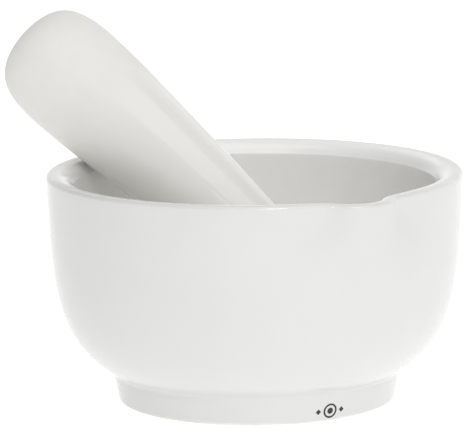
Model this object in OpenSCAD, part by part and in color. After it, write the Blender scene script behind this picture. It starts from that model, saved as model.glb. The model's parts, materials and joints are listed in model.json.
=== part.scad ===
// Porcelain mortar with a pouring lip, and its solid pestle leaning in it.
//
// Millimetres, +Z up. The origin is the centre of the mortar's resting face, and Z is
// the mortar's axis. The pouring lip points between -Y and +X, and the pestle leans
// out over the opposite side of the rim, towards -X and +Y. The pestle stands less
// than a millimetre clear of the rim and of the bowl, so that it can slide out along
// its own length.

/* [Mortar] */
// Outer diameter of the mortar over its rim
rim_d = 140; // [100:1:200]
// Height from the resting face to the top of the rim
mortar_h = 77.2; // [55:0.1:110]
// Wall thickness at the mouth
wall = 9; // [6:0.5:14]
// Thickness of the bottom on the axis
floor_t = 12.5; // [8:0.5:20]
// Diameter of the flat resting face
base_d = 92.4; // [70:0.1:130]
// Diameter of the foot where it meets the bowl
foot_top_d = 96.8; // [70:0.1:135]
// Height of the foot
foot_h = 9.7; // [5:0.1:16]
// Width of the small bevel round the resting face
base_bevel = 0.5; // [0.2:0.1:1.5]
// Width of the rounding on the outside of the rim
rim_round_out = 1.4; // [1:0.1:5]
// Width of the slope that rounds the rim off towards the bowl
rim_round_in = 7.4; // [2:0.1:8]
// Drop of that slope
rim_drop_in = 3.9; // [2:0.1:8]

/* [Pouring lip] */
// Direction of the lip about Z, counted from +X
lip_dir = -59.5; // [-180:0.5:180]
// Radius of the lip's round nose
nose_r = 12; // [9:0.5:16]
// How far the nose stands out past the rim
lip_out = 5.4; // [2:0.1:8]
// Lean of the nose inwards towards its lower end
nose_lean = 14; // [8:0.5:20]
// Radius of the pouring channel
channel_r = 5.5; // [3:0.5:8]
// Lean of the channel inwards towards its lower end
channel_lean = 24; // [18:0.5:30]
// How far the rim dips at the middle of the lip
lip_dip = 0.6; // [0.2:0.1:3]

/* [Pestle] */
// Radius of the grinding head
head_r = 19.9; // [12:0.1:30]
// Length of the domed end of the head
dome_l = 21.7; // [10:0.1:40]
// Radius of the thin end
tip_r = 10.8; // [6:0.1:18]
// Length of the rounding on the thin end
tip_l = 9.5; // [4:0.1:14]
// Length of the pestle from end to end
pestle_l = 156.6; // [100:0.1:220]
// Angle of the leaning pestle above the horizontal
lean = 36.8; // [20:0.1:70]
// Direction about Z in which the pestle leans out of the bowl, counted from +X
lean_dir = 153.4; // [-180:0.1:180]
// Height at which the pestle's centre line crosses the mortar's axis
cross_h = 53.2; // [30:0.05:80]
// Distance from that crossing to the top of the grinding head
head_reach = 107.9; // [60:0.1:150]

/* [Printed mark] */
// Height of the mark's middle above the resting face
mark_z = 3.5; // [2:0.1:8]
// Outer radius of the ring in the mark
mark_ring_r = 2.5; // [1:0.1:4]
// Line width of the ring
mark_line = 0.6; // [0.2:0.1:1.2]
// Half diagonal of each lozenge beside the ring
mark_lozenge = 0.95; // [0.4:0.05:2]
// Distance from the ring's middle to each lozenge
mark_step = 4.4; // [3:0.1:8]
// Thickness of the fired-on print
mark_t = 0.06; // [0.02:0.01:0.3]

/* [Hidden] */
$fn = 128;
rim_r = rim_d / 2;
mouth_r = rim_r - wall;
base_r = base_d / 2;
foot_top_r = foot_top_d / 2;
crest_out_r = rim_r - rim_round_out;
crest_in_r = mouth_r + rim_round_in;
foot_side_h = foot_h - 1.4;
foot_side_r = foot_top_r - 0.2;
lip_axis_r = rim_r + lip_out - nose_r;
lip_top_z = mortar_h - lip_dip;
lip_run = 40;
dip_r = 90;
white_glaze = [0.91, 0.91, 0.9];
bisque = [0.89, 0.885, 0.87];
ink = [0.1, 0.1, 0.1];

// Point at s on the cubic Bezier curve with control points a, b, c, d.
function bez3(a, b, c, d, s) =
    pow(1 - s, 3) * a + 3 * pow(1 - s, 2) * s * b + 3 * (1 - s) * s * s * c + pow(s, 3) * d;

// n + 1 points along that curve, without its first point.
function curve(a, b, c, d, n) = [for (i = [1 : n]) bez3(a, b, c, d, i / n)];

// Points on a quarter of an ellipse about [cx, cz], without its first point.
function quarter(cx, cz, rx, rz, from, n) =
    [for (i = [1 : n]) [cx + rx * cos(from + 90 * i / n), cz + rz * sin(from + 90 * i / n)]];

// Outside of the mortar, from the axis at the bottom to the axis at the top.
outer_profile = concat(
    [[0, 0], [base_r, 0], [base_r + base_bevel, base_bevel], [foot_side_r, foot_side_h]],
    curve([foot_side_r, foot_side_h], [foot_side_r + 0.1, foot_h - 0.3],
          [foot_top_r + 0.3, foot_h + 0.2], [foot_top_r + 1.9, foot_h + 1.2], 5),
    curve([foot_top_r + 1.9, foot_h + 1.2], [rim_r - 2.2, foot_h + 12.7],
          [rim_r - 1.4, mortar_h - 39], [rim_r, mortar_h - rim_round_out], 30),
    quarter(crest_out_r, mortar_h - rim_round_out, rim_round_out, rim_round_out, 0, 8),
    [[0, mortar_h]]);

// Hollow of the bowl, flared at the top by the slope inside the rim.
hollow_profile = concat(
    [[0, floor_t]],
    curve([0, floor_t], [38, floor_t], [mouth_r, mortar_h * 0.41],
          [mouth_r, mortar_h - rim_drop_in], 26),
    curve([mouth_r, mortar_h - rim_drop_in], [mouth_r + 0.16 * rim_round_in, mortar_h - 0.36 * rim_drop_in],
          [crest_in_r - 0.6 * rim_round_in, mortar_h], [crest_in_r, mortar_h], 10),
    [[crest_in_r, mortar_h + 1], [0, mortar_h + 1]]);

// Half outline of the pestle: [radius, distance from the top of the grinding head].
pestle_profile = concat(
    [[0, 0]],
    curve([0, 0], [14, 0], [head_r, 2.7], [head_r, dome_l], 16),
    curve([head_r, dome_l], [head_r - 0.1, dome_l + 26], [13.5, pestle_l - tip_l - 48.3],
          [tip_r, pestle_l - tip_l], 18),
    [for (i = [1 : 9]) [tip_r * cos(10 * i), pestle_l - tip_l + tip_l * sin(10 * i)]]);

// A round column under the lip, leaning towards the mortar's axis at its lower end.
module lip_column(radius, lean_in) {
    rotate([0, 0, lip_dir])
        translate([lip_axis_r, 0, mortar_h])
            rotate([0, lean_in, 0])
                translate([0, 0, -lip_run])
                    cylinder(h = lip_run + 2 * radius, r = radius);
}

// The nose of the lip, level with the rim at the top.
module lip_nose() {
    intersection() {
        lip_column(nose_r, nose_lean);
        cylinder(h = mortar_h, r = rim_r + 2 * lip_out);
    }
}

// Takes the top off the nose, deepest in the middle.
module lip_dip_cut() {
    rotate([0, 0, lip_dir])
        translate([lip_axis_r, 0, lip_top_z + dip_r])
            rotate([0, 90, 0])
                cylinder(h = 60, r = dip_r, $fn = 256);
}

// Bowl, rim, lip and foot: one thick casting.
module mortar() {
    color(white_glaze)
        difference() {
            union() {
                rotate_extrude() polygon(outer_profile);
                lip_nose();
            }
            rotate_extrude() polygon(hollow_profile);
            lip_column(channel_r, channel_lean);
            lip_dip_cut();
        }
}

// Solid pestle, drawn along its own line from the top of the head to the thin end.
module pestle() {
    color(bisque)
        rotate([0, 0, lean_dir])
            translate([0, 0, cross_h])
                rotate([0, 90 - lean, 0])
                    translate([0, 0, head_reach])
                        mirror([0, 0, 1])
                            rotate_extrude() polygon(pestle_profile);
}

// Outline of the mark: a ring with a dot in it and a lozenge on each side.
module mark_outline() {
    difference() {
        circle(r = mark_ring_r);
        circle(r = mark_ring_r - mark_line);
    }
    circle(r = mark_ring_r - 2.4 * mark_line);
    for (side = [-1, 1])
        translate([side * mark_step, 0])
            rotate(45)
                square(mark_lozenge * sqrt(2), center = true);
}

// Fired-on print on the side of the foot, under the lip.
module foot_mark() {
    side_h = foot_side_h - base_bevel;
    color(ink)
        intersection() {
            difference() {
                translate([0, 0, base_bevel])
                    cylinder(h = side_h, r1 = base_r + base_bevel + mark_t, r2 = foot_side_r + mark_t);
                translate([0, 0, base_bevel])
                    cylinder(h = side_h, r1 = base_r + base_bevel, r2 = foot_side_r);
            }
            rotate([0, 0, lip_dir])
                translate([base_r - 5, 0, mark_z])
                    rotate([90, 0, 90])
                        linear_extrude(12) mark_outline();
        }
}

mortar();
pestle();
foot_mark();
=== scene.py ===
"""A white porcelain mortar with a pouring lip, and the pestle that leans in it.

Everything is in metres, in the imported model's frame: +Z up, the origin at the centre of
the mortar's resting face. The mortar and the pestle are turned shapes, made here at a
finer grain than the CAD solids they stand for, and glazed with procedural materials.
"""
import json
import math

import bpy
from mathutils import Matrix, Vector


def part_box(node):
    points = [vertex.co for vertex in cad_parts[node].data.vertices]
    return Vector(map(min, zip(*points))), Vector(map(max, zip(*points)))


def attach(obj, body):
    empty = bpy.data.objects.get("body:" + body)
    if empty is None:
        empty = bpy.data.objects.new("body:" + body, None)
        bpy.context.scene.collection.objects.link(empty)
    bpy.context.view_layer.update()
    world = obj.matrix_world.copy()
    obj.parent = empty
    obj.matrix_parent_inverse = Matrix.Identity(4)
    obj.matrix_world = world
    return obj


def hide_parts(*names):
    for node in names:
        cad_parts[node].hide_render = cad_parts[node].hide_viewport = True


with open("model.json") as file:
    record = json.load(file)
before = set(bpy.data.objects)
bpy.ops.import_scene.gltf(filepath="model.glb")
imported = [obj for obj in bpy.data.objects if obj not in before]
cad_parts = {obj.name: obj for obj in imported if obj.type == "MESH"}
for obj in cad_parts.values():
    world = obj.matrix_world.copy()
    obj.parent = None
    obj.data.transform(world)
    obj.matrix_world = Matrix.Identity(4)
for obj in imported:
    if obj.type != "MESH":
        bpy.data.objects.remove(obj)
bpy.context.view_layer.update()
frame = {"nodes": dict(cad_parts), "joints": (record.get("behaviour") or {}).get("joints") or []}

MM = 0.001

# The mortar. The rim's radius and height come from the frame.
RIM_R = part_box("mortar")[1].x
RIM_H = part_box("mortar")[1].z
MOUTH_R = RIM_R - 9 * MM  # inner radius below the slope of the rim
FLOOR_T = 12.5 * MM  # thickness of the bottom on the axis
BOWL_FLAT = 38 * MM  # reach of the nearly flat bottom of the bowl
BOWL_BEND_H = 0.41 * RIM_H  # height that the wall of the bowl aims down to
BASE_R = 46.2 * MM  # resting face
BASE_BEVEL = 0.5 * MM
FOOT_R = 48.4 * MM  # foot where it meets the bowl
FOOT_H = 9.7 * MM
FOOT_SIDE_IN = 0.2 * MM  # the foot's straight side ends this far inside FOOT_R
FOOT_SIDE_BELOW = 1.4 * MM  # and this far below FOOT_H
FOOT_ROOT_OUT = 1.9 * MM  # the bowl's curve starts this far outside FOOT_R
FOOT_ROOT_ABOVE = 1.2 * MM  # and this far above FOOT_H
BELLY_LOW = (RIM_R - 2.2 * MM, FOOT_H + 12.7 * MM)  # the two points the wall bends towards
BELLY_HIGH = (RIM_R - 1.4 * MM, RIM_H - 38.6 * MM)
RIM_ROUND = 1.4 * MM  # rounding on the outside of the rim
RIM_SLOPE_W = 7.4 * MM  # slope on the inside of the rim
RIM_SLOPE_H = 3.9 * MM
RIM_FLAT = 4.4 * MM  # reach of the level start of that slope
MOUTH_CORNER = 0.5 * MM  # small rounding where the slope meets the bowl
GLAZE_DROP = 4.2 * MM  # the glaze ends this far below the top, inside
HIGHLIGHT_WIDTH = 5 * MM  # over the last stretch before that end the glaze is painted a lighter tint, a painted highlight standing in for the bright band of reflected light low on the rim's slope, and
HIGHLIGHT_FADE_END = 1.7 * HIGHLIGHT_WIDTH  # this far from the end the painted highlight has faded out

# The pouring lip: the rim swells outwards there, and dips a little.
LIP_DIR = math.radians(-59.3)
LIP_OUT = 5.66 * MM
LIP_HALF_W = 11.6 * MM
LIP_BLEND = 0.87 * MM  # softness of the swelling's edges at the top of the rim
LIP_SOFTEN = 5 * MM  # depth at which that softness has doubled
LIP_FADE = 18 * MM  # depth over which the swelling fades
LIP_DIP = 0.6 * MM
LIP_DIP_W = 18 * MM
LIP_DIP_FADE = 10 * MM  # depth over which the dip fades
LIP_PINCH = 0.5  # how strongly the mesh is finer at the lip, from 0 to 1
MORTAR_SIDES = 360

# The pestle. The line it lies along is the axis of its slide joint.
PESTLE_AXIS = Vector(frame["joints"][0]["axis"]).normalized()
PESTLE_CROSS_H = 53.2 * MM  # height at which that line crosses the mortar's axis
PESTLE_REACH = 107.9 * MM  # from the crossing to the top of the head
PESTLE_L = 156.6 * MM
HEAD_R = 19.9 * MM
HEAD_FLAT = 14 * MM  # reach of the nearly flat end of the head
HEAD_CORNER = 2.7 * MM  # depth of the corner that the dome rounds off
DOME_L = 21.7 * MM
HEAD_STRAIGHT = 26 * MM  # reach of the nearly straight stretch behind the dome
SHAFT_R = 13.5 * MM  # the shaft bends towards this radius
SHAFT_L = 48.3 * MM  # at this distance before the rounding of the thin end
TIP_R = 10.8 * MM
TIP_L = 9.5 * MM
BISQUE_L = 44 * MM  # bare length from the top of the head
PESTLE_SIDES = 192

# The studio. The sky is described by the parts of a direction: its Z is 0 at the horizon
# and 1 straight up, and its X is -1 at the left.
FLOOR_SIZE = 14.0
FLOOR_GLOW = 0.8
WORLD_LIGHT = 0.26
HORIZON_LIGHT = 0.79  # added at the horizon, fading out upwards
HORIZON_TOP = 0.95  # Z where it has faded out
LEFT_TOP = 0.2  # the same at the left
LEFT_START = -0.35  # X where the fade begins to come down, and
LEFT_END = -0.95  # where it has come down
LIGHT_AIM_H = 50 * MM
LIGHT_DISTANCE = 2.2
CAMERA_AIM_H = 40 * MM
CAMERA_DISTANCE = 1.3
CAMERA_ELEVATION = math.radians(11.1)
CAMERA_TILT = math.radians(10.16)
CAMERA_PAN = math.radians(0.346)
CAMERA_ROLL = math.radians(-0.739)
CAMERA_SENSOR = 36  # millimetres, like the lens
CAMERA_LENS = 298.55


# ---------------------------------------------------------------- outlines


def bezier(a, b, c, d, steps):
    """Points along a cubic Bezier curve in the (radius, height) plane, first point left out."""
    points = []
    for i in range(1, steps + 1):
        s = i / steps
        k = ((1 - s) ** 3, 3 * (1 - s) ** 2 * s, 3 * (1 - s) * s * s, s**3)
        points.append(tuple(sum(w * p[axis] for w, p in zip(k, (a, b, c, d))) for axis in (0, 1)))
    return points


def quarter(centre, radii, start, steps):
    """Points on a quarter of an ellipse from the angle start, first point left out."""
    points = []
    for i in range(1, steps + 1):
        t = math.radians(start + 90 * i / steps)
        points.append((centre[0] + radii[0] * math.cos(t), centre[1] + radii[1] * math.sin(t)))
    return points


def line(a, b, steps):
    """Points on a straight stretch, first point left out."""
    shares = [i / steps for i in range(1, steps + 1)]
    return [(a[0] + (b[0] - a[0]) * s, a[1] + (b[1] - a[1]) * s) for s in shares]


def mortar_outline():
    """The mortar's section from the axis underneath, round the rim, to the axis inside."""
    foot_side = (FOOT_R - FOOT_SIDE_IN, FOOT_H - FOOT_SIDE_BELOW)
    foot_root = (FOOT_R + FOOT_ROOT_OUT, FOOT_H + FOOT_ROOT_ABOVE)
    rim_side = (RIM_R, RIM_H - RIM_ROUND)
    crest = (MOUTH_R + RIM_SLOPE_W, RIM_H)
    slope_end = (MOUTH_R + MOUTH_CORNER, RIM_H - RIM_SLOPE_H + 0.9 * MOUTH_CORNER)
    inner_top = (MOUTH_R, RIM_H - RIM_SLOPE_H - 1.2 * MOUTH_CORNER)
    points = [(0, 0)]
    points += line((0, 0), (BASE_R, 0), 12)
    points += quarter((BASE_R, BASE_BEVEL), (BASE_BEVEL, BASE_BEVEL), -90, 5)
    points += line(points[-1], foot_side, 8)
    points += bezier(foot_side, (foot_side[0] + 0.1 * MM, FOOT_H - 0.3 * MM),
                     (FOOT_R + 0.3 * MM, FOOT_H + 0.2 * MM), foot_root, 8)
    points += bezier(foot_root, BELLY_LOW, BELLY_HIGH, rim_side, 48)
    points += quarter((RIM_R - RIM_ROUND, RIM_H - RIM_ROUND), (RIM_ROUND, RIM_ROUND), 0, 8)
    points += line(points[-1], crest, 2)
    points += bezier(crest, (crest[0] - RIM_FLAT, RIM_H),
                     (slope_end[0] + 0.9 * MM, slope_end[1] + 1.8 * MM), slope_end, 16)
    points += bezier(slope_end, (slope_end[0] - 0.5 * MOUTH_CORNER, slope_end[1] - MOUTH_CORNER),
                     (MOUTH_R, inner_top[1] + MOUTH_CORNER), inner_top, 6)
    points += bezier(inner_top, (MOUTH_R, BOWL_BEND_H), (BOWL_FLAT, FLOOR_T), (0, FLOOR_T), 44)
    return points


def pestle_outline():
    """The pestle's half outline: (radius, distance from the top of the grinding head)."""
    body_end = PESTLE_L - TIP_L
    points = [(0, 0)]
    points += bezier((0, 0), (HEAD_FLAT, 0), (HEAD_R, HEAD_CORNER), (HEAD_R, DOME_L), 32)
    points += bezier((HEAD_R, DOME_L), (HEAD_R - 0.1 * MM, DOME_L + HEAD_STRAIGHT),
                     (SHAFT_R, body_end - SHAFT_L), (TIP_R, body_end), 70)
    points += quarter((0, body_end), (TIP_R, TIP_L), 0, 14)
    return points


# ---------------------------------------------------------------- meshes


def aimed(direction):
    """The turn that points the Z axis in that direction."""
    return direction.to_track_quat("Z", "Y").to_matrix().to_4x4()


def lip_push(angle, height):
    """How far the rim is pushed outwards and downwards by the pouring lip.

    Outwards it is a parabola across the lip, eased into nothing at both sides.
    """
    along = RIM_R * math.remainder(angle - LIP_DIR, 2 * math.pi)
    down = RIM_H - height
    blend = LIP_BLEND * (1 + (down / LIP_SOFTEN) ** 2)
    bulge = LIP_OUT * (1 - (along / LIP_HALF_W) ** 2) / blend
    # Far from the lip the push is exactly nothing.
    out = blend * (math.log1p(math.exp(bulge)) if bulge > -30 else 0)
    dip = LIP_DIP * math.exp(-abs(along / LIP_DIP_W) ** 3) * math.exp(-((down / LIP_DIP_FADE) ** 2))
    return out * math.exp(-((down / LIP_FADE) ** 2)), dip


def turned_angles(count, fine_at, pinch):
    """count angles round a circle, closest together at fine_at, and even if pinch is 0."""
    turns = [2 * math.pi * i / count for i in range(count)]
    return [fine_at + t - pinch * math.sin(t) for t in turns]


def lathe(name, outline, angles, glazed, shape=None):
    """A turned mesh about Z. glazed is the stretch of the outline that carries glaze.

    The point attribute glaze_depth says how far, in metres along the outline, each point
    lies inside the glazed stretch. It is negative where the body is bare. The attribute
    glaze_left is the distance that is left to the far end of that stretch.
    """
    reach = [0.0]
    for a, b in zip(outline, outline[1:]):
        reach.append(reach[-1] + math.dist(a, b))
    vertices, depth, left, faces, rings = [], [], [], [], []
    for (radius, height), at in zip(outline, reach):
        inside = min(at - glazed[0], glazed[1] - at)
        if radius < 1e-9:
            rings.append([len(vertices)])
            vertices.append((0, 0, height))
            depth.append(inside)
            left.append(glazed[1] - at)
            continue
        rings.append(list(range(len(vertices), len(vertices) + len(angles))))
        for angle in angles:
            out, dip = shape(angle, height) if shape else (0, 0)
            r = radius + out
            vertices.append((r * math.cos(angle), r * math.sin(angle), height - dip))
            depth.append(inside)
            left.append(glazed[1] - at)
    count = len(angles)
    for low, high in zip(rings, rings[1:]):
        for i in range(count):
            j = (i + 1) % count
            if len(low) == 1:
                faces.append((low[0], high[j], high[i]))
            elif len(high) == 1:
                faces.append((low[i], low[j], high[0]))
            else:
                faces.append((low[i], low[j], high[j], high[i]))
    mesh = bpy.data.meshes.new(name)
    mesh.from_pydata(vertices, [], faces)
    mesh.update()
    mesh.polygons.foreach_set("use_smooth", [True] * len(mesh.polygons))
    mesh.attributes.new("glaze_depth", "FLOAT", "POINT").data.foreach_set("value", depth)
    mesh.attributes.new("glaze_left", "FLOAT", "POINT").data.foreach_set("value", left)
    obj = bpy.data.objects.new(name, mesh)
    bpy.context.scene.collection.objects.link(obj)
    return obj


def outline_length(outline):
    """Length of the outline from end to end."""
    return sum(math.dist(a, b) for a, b in zip(outline, outline[1:]))


def length_where(outline, test):
    """Distance along the outline to the end of the first stretch that passes the test."""
    run = 0.0
    for a, b in zip(outline, outline[1:]):
        run += math.dist(a, b)
        if test(a, b):
            return run
    raise ValueError("no stretch of the outline passes the test")


# ---------------------------------------------------------------- materials


NOISE_LOW, NOISE_HIGH = 0.3, 0.7  # nearly all of a noise lies between these


class Shader:
    """A small helper that adds nodes to one material."""

    def __init__(self, name):
        self.material = bpy.data.materials.new(name)
        self.material.use_nodes = True
        self.tree = self.material.node_tree
        self.principled = self.tree.nodes["Principled BSDF"]

    def node(self, kind, **values):
        """A new node of that kind, with its own settings set."""
        made = self.tree.nodes.new(kind)
        for key, value in values.items():
            setattr(made, key, value)
        return made

    def link(self, source, target):
        self.tree.links.new(source, target)

    def place(self):
        """Position in metres on the piece itself."""
        return self.node("ShaderNodeTexCoord").outputs["Object"]

    def noise(self, scale, detail=2, roughness=0.5):
        """Noise around 0.5 with features about 1 / scale metres across."""
        made = self.node("ShaderNodeTexNoise")
        made.inputs["Scale"].default_value = scale
        made.inputs["Detail"].default_value = detail
        made.inputs["Roughness"].default_value = roughness
        self.link(self.place(), made.inputs["Vector"])
        return made.outputs["Fac"]

    def number(self, operation, *values):
        """A calculation on plain numbers or other nodes' results."""
        made = self.node("ShaderNodeMath", operation=operation)
        for socket, value in zip(made.inputs, values):
            if isinstance(value, (int, float)):
                socket.default_value = value
            else:
                self.link(value, socket)
        return made.outputs[0]

    def spread(self, value, low, high, to_low, to_high, smooth=False):
        """Maps value from low..high to to_low..to_high, held at the ends."""
        kind = "SMOOTHSTEP" if smooth else "LINEAR"
        made = self.node("ShaderNodeMapRange", interpolation_type=kind)
        self.link(value, made.inputs["Value"])
        made.inputs["From Min"].default_value = low
        made.inputs["From Max"].default_value = high
        made.inputs["To Min"].default_value = to_low
        made.inputs["To Max"].default_value = to_high
        return made.outputs["Result"]

    def colour(self, fac, first, second):
        """first where fac is 0, second where it is 1."""
        made = self.node("ShaderNodeMix", data_type="RGBA")
        self.link(fac, made.inputs["Factor"])
        colour_sockets = (made.inputs[6], made.inputs[7])
        for socket, value in zip(colour_sockets, (first, second)):
            if isinstance(value, tuple):
                socket.default_value = (*value, 1)
            else:
                self.link(value, socket)
        return made.outputs[2]

    def bump(self, height, distance, base=None):
        """A normal tilted by the slopes of height, which is distance metres tall at 1."""
        made = self.node("ShaderNodeBump")
        made.inputs["Strength"].default_value = 1
        made.inputs["Distance"].default_value = distance
        self.link(height, made.inputs["Height"])
        if base:
            self.link(base, made.inputs["Normal"])
        return made.outputs["Normal"]

    def wander(self, low, high, *noise):
        """A noise with those settings, stretched to run from low to high."""
        return self.spread(self.noise(*noise), NOISE_LOW, NOISE_HIGH, low, high)

    def attribute(self, name):
        """The value that the mesh's points carry under that name."""
        return self.node("ShaderNodeAttribute", attribute_name=name).outputs["Fac"]

    def glazed(self, waver, edge):
        """1 where the glaze lies, 0 on the bare body.

        The glaze's edge wavers by waver metres, and fades over edge metres both ways.
        """
        depth = self.number("ADD", self.attribute("glaze_depth"), self.wander(-waver, waver, 55))
        return self.spread(depth, -edge, edge, 0, 1, True)


def specks(shader, scale, radius, share):
    """A sparse scatter of small spots: 1 in a spot, 0 elsewhere.

    There is a place for a spot about every 1 / scale metres, and the given share of these
    places has one.
    """
    cells = shader.node("ShaderNodeTexVoronoi")
    cells.inputs["Scale"].default_value = scale
    cells.inputs["Randomness"].default_value = 1
    shader.link(shader.place(), cells.inputs["Vector"])
    edge = radius * scale
    spot = shader.spread(cells.outputs["Distance"], edge, 0.5 * edge, 0, 1, True)
    split = shader.node("ShaderNodeSeparateColor")
    shader.link(cells.outputs["Color"], split.inputs["Color"])
    chosen = shader.number("LESS_THAN", split.outputs["Red"], share)
    return shader.number("MULTIPLY", spot, chosen)


def porcelain(name, glaze_tints, slope_highlight_tint, bisque_tints, glaze_edge, glaze_step, roughness):
    """White glaze on a bare porcelain body, where the mesh's glaze_depth says.

    The glaze wanders between its two tints. Over its last stretch it is painted a lighter tint,
    a painted highlight standing in for the bright band of reflected light low on the rim's slope.
    The bare body wanders between the two bisque tints. The glaze's edge fades over glaze_edge
    both ways, and stands glaze_step above the body. roughness is the body's.
    """
    s = Shader(name)
    glazed = s.glazed(0.5 * MM, glaze_edge)

    # The glaze pools and thins over a few centimetres.
    glaze = s.colour(s.wander(0, 1, 28, 3, 0.55), *glaze_tints)
    # Painted highlight: low on the rim's slope, over the glaze's last stretch, the glaze is painted
    # a lighter tint in place of the bright band of reflected light there.
    past_highlight_band = s.spread(s.attribute("glaze_left"), HIGHLIGHT_WIDTH, HIGHLIGHT_FADE_END, 0, 1, True)
    glaze = s.colour(past_highlight_band, slope_highlight_tint, glaze)
    # A few iron specks are fired into it.
    iron = specks(s, scale=70, radius=0.22 * MM, share=0.05)
    glaze = s.colour(iron, glaze, (0.42, 0.37, 0.31))
    # The bare body is finely mottled.
    bisque = s.colour(s.wander(0, 1, 160, 4, 0.6), *bisque_tints)
    s.link(s.colour(glazed, bisque, glaze), s.principled.inputs["Base Color"])

    # The body is dull and grainy. The glaze is a glossy coat on it, with faint wipe marks.
    dull = s.wander(roughness - 0.05, roughness + 0.05, 420, 3)
    s.link(dull, s.principled.inputs["Roughness"])
    wiped = s.spread(s.noise(90, 3), 0.35, 0.65, 0.05, 0.09)
    s.link(wiped, s.principled.inputs["Coat Roughness"])
    s.link(glazed, s.principled.inputs["Coat Weight"])

    # Soft unevenness of the glaze coat, the step at its edge, and the grain of the body.
    orange_peel = s.bump(s.noise(260, 2, 0.4), 0.012 * MM)
    waves = s.bump(s.noise(45, 1, 0.3), 0.10 * MM, orange_peel)
    s.link(s.bump(glazed, glaze_step, waves), s.principled.inputs["Coat Normal"])
    grain_height = s.number("MULTIPLY", s.noise(2600, 4, 0.7), s.number("SUBTRACT", 1, glazed))
    s.link(s.bump(grain_height, 0.035 * MM), s.principled.inputs["Normal"])
    s.principled.inputs["IOR"].default_value = 1.5
    return s.material


def enamel(name):
    """Black transfer print fired into the glaze, with a slightly broken surface."""
    s = Shader(name)
    wear = s.spread(s.noise(1400, 4, 0.7), 0.52, 0.75, 0, 1)
    ink = s.colour(wear, (0.012, 0.012, 0.013), (0.09, 0.088, 0.085))
    s.link(ink, s.principled.inputs["Base Color"])
    s.link(s.wander(0.16, 0.3, 900), s.principled.inputs["Roughness"])
    s.link(s.bump(s.noise(1800, 3, 0.6), 0.01 * MM), s.principled.inputs["Normal"])
    return s.material


def paper(name):
    """The pale matte sweep that the mortar stands on."""
    s = Shader(name)
    grey = s.colour(s.wander(0, 1, 6, 3), (0.41, 0.41, 0.41), (0.43, 0.43, 0.43))
    s.link(grey, s.principled.inputs["Base Color"])
    s.principled.inputs["Roughness"].default_value = 0.9
    s.principled.inputs["Specular IOR Level"].default_value = 0
    s.principled.inputs["Emission Color"].default_value = (1, 1, 1, 1)
    s.principled.inputs["Emission Strength"].default_value = FLOOR_GLOW
    return s.material


# ---------------------------------------------------------------- the object


def past_bevel(a, b):
    """The stretch from a to b ends at the top of the bevel under the foot, or above it."""
    return b[1] > 0.9 * BASE_BEVEL


def below_inner_glaze(a, b):
    """The stretch from a to b goes down the inside and ends below the glaze."""
    return b[0] < RIM_R - RIM_ROUND and b[1] < a[1] and b[1] < RIM_H - GLAZE_DROP


def past_bare_head(a, b):
    """The stretch from a to b ends beyond the bare end of the pestle."""
    return b[1] > BISQUE_L


mortar_section = mortar_outline()
mortar_glaze_start = length_where(mortar_section, past_bevel)
mortar_glaze_end = length_where(mortar_section, below_inner_glaze)
mortar = lathe("mortar_body", mortar_section, turned_angles(MORTAR_SIDES, LIP_DIR, LIP_PINCH),
               (mortar_glaze_start, mortar_glaze_end), lip_push)
mortar.data.materials.append(porcelain(
    "glazed_porcelain",
    glaze_tints=((0.67, 0.67, 0.656), (0.69, 0.69, 0.676)),
    # painted highlight: the lighter tint of the bright band low on the rim's slope
    slope_highlight_tint=(0.87, 0.87, 0.855),
    bisque_tints=((0.81, 0.806, 0.786), (0.83, 0.826, 0.806)),
    glaze_edge=0.6 * MM, glaze_step=0.06 * MM, roughness=0.6))
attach(mortar, "mortar_body")
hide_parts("mortar")

# The pestle's glaze covers the thin end too, so its far end lies well past the outline's.
pestle_section = pestle_outline()
pestle_glaze_start = length_where(pestle_section, past_bare_head)
pestle_glaze_end = outline_length(pestle_section) + PESTLE_L
pestle = lathe("pestle_turned", pestle_section, turned_angles(PESTLE_SIDES, 0, 0),
               (pestle_glaze_start, pestle_glaze_end))
pestle.data.materials.append(porcelain(
    "pestle_porcelain",
    glaze_tints=((0.735, 0.728, 0.70), (0.755, 0.748, 0.718)),
    slope_highlight_tint=(0.735, 0.729, 0.70),
    bisque_tints=((0.73, 0.724, 0.695), (0.75, 0.744, 0.715)),
    glaze_edge=9 * MM, glaze_step=0.005 * MM, roughness=0.62))
head_top = Vector((0, 0, PESTLE_CROSS_H)) + PESTLE_AXIS * PESTLE_REACH
pestle.data.transform(Matrix.Translation(head_top) @ aimed(-PESTLE_AXIS))
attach(pestle, "pestle_body")
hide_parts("pestle")

mark = frame["nodes"]["foot_mark"]
mark.data.materials.clear()
mark.data.materials.append(enamel("fired_black_print"))


# ---------------------------------------------------------------- floor, lights and camera

half = FLOOR_SIZE / 2
floor_corners = [(-half, -half, 0), (half, -half, 0), (half, half, 0), (-half, half, 0)]
floor_mesh = bpy.data.meshes.new("studio_floor")
floor_mesh.from_pydata(floor_corners, [], [(0, 1, 2, 3)])
floor_mesh.materials.append(paper("pale_sweep"))
floor = bpy.data.objects.new("studio_floor", floor_mesh)
bpy.context.scene.collection.objects.link(floor)


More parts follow.
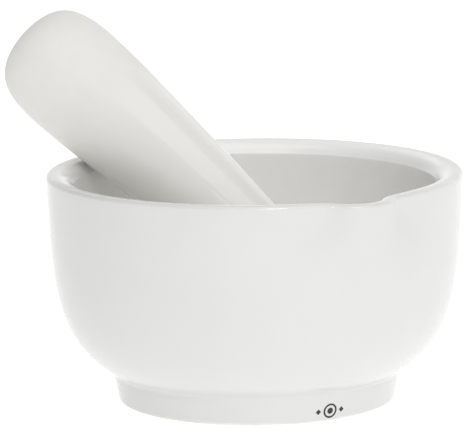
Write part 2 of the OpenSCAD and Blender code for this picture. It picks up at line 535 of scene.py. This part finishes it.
def studio_world():
    """Soft light from everywhere, brighter towards the horizon like a lit white sweep.

    The bright band reaches less far up at the left.
    """
    world = bpy.data.worlds.new("studio")
    world.use_nodes = True
    tree = world.node_tree
    direction = tree.nodes.new("ShaderNodeTexCoord")
    split = tree.nodes.new("ShaderNodeSeparateXYZ")
    tree.links.new(direction.outputs["Generated"], split.inputs[0])
    height = tree.nodes.new("ShaderNodeMapRange")
    height.interpolation_type = "SMOOTHSTEP"
    height.inputs["From Min"].default_value = 0
    height.inputs["To Min"].default_value = WORLD_LIGHT + HORIZON_LIGHT
    height.inputs["To Max"].default_value = WORLD_LIGHT
    tree.links.new(split.outputs["Z"], height.inputs["Value"])
    side = tree.nodes.new("ShaderNodeMapRange")
    side.inputs["From Min"].default_value = LEFT_END
    side.inputs["From Max"].default_value = LEFT_START
    side.inputs["To Min"].default_value = LEFT_TOP
    side.inputs["To Max"].default_value = HORIZON_TOP
    tree.links.new(split.outputs["X"], side.inputs["Value"])
    tree.links.new(side.outputs["Result"], height.inputs["From Max"])
    tree.links.new(height.outputs["Result"], tree.nodes["Background"].inputs["Strength"])
    tree.nodes["Background"].inputs["Color"].default_value = (1, 1, 1, 1)
    return world


bpy.context.scene.world = studio_world()


def softbox(name, azimuth, elevation, size, watts):
    """A square area light aimed at the middle of the object.

    azimuth is counted in degrees from the front towards the right.
    """
    target = Vector((0, 0, LIGHT_AIM_H))
    a, e = math.radians(azimuth), math.radians(elevation)
    back = Vector((math.sin(a) * math.cos(e), -math.cos(a) * math.cos(e), math.sin(e)))
    data = bpy.data.lights.new(name, "AREA")
    data.shape = "SQUARE"
    data.size = size
    data.energy = watts
    light = bpy.data.objects.new(name, data)
    light.matrix_world = Matrix.Translation(target + back * LIGHT_DISTANCE) @ aimed(back)
    light.visible_camera = False
    bpy.context.scene.collection.objects.link(light)


softbox("key_front", 10, 32, 0.6, 8.5)
softbox("overhead", 20, 75, 2.4, 21)
softbox("back_top", 170, 45, 2.2, 6)

camera_data = bpy.data.cameras.new("camera")
camera_data.sensor_width = CAMERA_SENSOR
camera_data.lens = CAMERA_LENS
camera = bpy.data.objects.new("camera", camera_data)
camera_at = Vector((0, -math.cos(CAMERA_ELEVATION), math.sin(CAMERA_ELEVATION))) * CAMERA_DISTANCE
camera_at.z += CAMERA_AIM_H
camera.matrix_world = (
    Matrix.Translation(camera_at)
    @ Matrix.Rotation(CAMERA_PAN, 4, "Z")
    @ Matrix.Rotation(math.pi / 2 - CAMERA_TILT, 4, "X")
    @ Matrix.Rotation(CAMERA_ROLL, 4, "Z"))
bpy.context.scene.collection.objects.link(camera)
bpy.context.scene.camera = camera
bpy.context.scene.view_settings.view_transform = "Standard"
